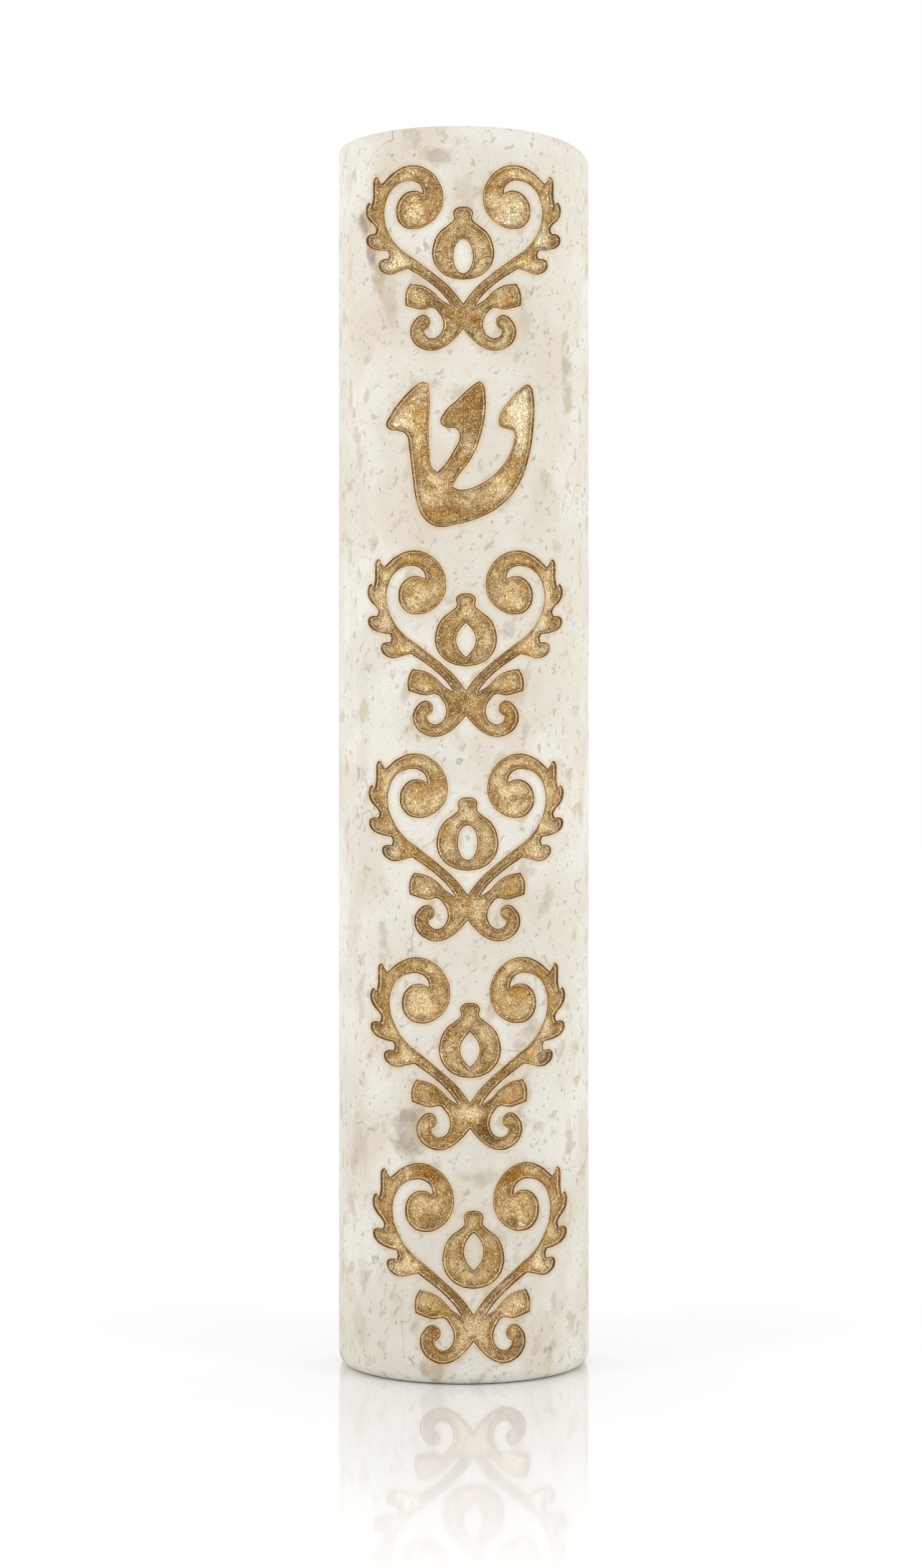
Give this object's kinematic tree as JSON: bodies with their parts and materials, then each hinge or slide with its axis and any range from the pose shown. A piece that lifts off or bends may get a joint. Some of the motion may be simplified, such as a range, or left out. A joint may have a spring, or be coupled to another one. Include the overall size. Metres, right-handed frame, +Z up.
{
  "type": "mezuzah case",
  "caption": "Half-round stone case for a door-post scroll, with sunk gilded scrollwork and pomegranates, a rear slot with a push-fit cover, a rolled parchment and foam mounting strips.",
  "frame": {"origin": "the middle of the box round the whole object, on the plane of the base", "axes": "+Z up along the case, -Y out of the round gilded front, +Y out of the flat back towards the door post, +X to the right as seen from the front"},
  "size_m": [0.032, 0.021, 0.155],
  "materials": {
    "limestone": "honed cream limestone with fine pits, grey hairline veins and beige stains",
    "gold_leaf": "gold leaf, burnished and mottled, darker at its rims",
    "parchment": "matte, blank",
    "clear_film": "thin clear film",
    "ivory_plastic": "satin moulded plastic",
    "white_foam": "closed-cell foam with adhesive faces"
  },
  "bodies": {
    "case": {"stone_body": "limestone", "scroll_gilding_1": "gold_leaf", "scroll_gilding_2": "gold_leaf", "scroll_gilding_3": "gold_leaf", "scroll_gilding_4": "gold_leaf", "scroll_gilding_5": "gold_leaf", "pomegranate_gilding_1": "gold_leaf", "pomegranate_gilding_2": "gold_leaf", "pomegranate_gilding_3": "gold_leaf", "pomegranate_gilding_4": "gold_leaf", "pomegranate_gilding_5": "gold_leaf", "shin_gilding": "gold_leaf", "foam_strip_left": "white_foam", "foam_strip_right": "white_foam"},
    "back_cover": {"back_cover": "ivory_plastic"},
    "scroll": {"parchment_scroll": "parchment", "film_sleeve": "clear_film"}
  },
  "joints": [
    {"name": "back_cover_lift", "type": "slide", "parent": "case", "child": "back_cover", "axis": [0, 1, 0], "range_m": [0, 0.05]},
    {"name": "scroll_lift", "type": "slide", "parent": "case", "child": "scroll", "axis": [0, 1, 0], "range_m": [0, 0.025]}
  ],
  "couplings": [
    {"joint": "scroll_lift", "follows": "back_cover_lift", "ratio": 0.5}
  ]
}
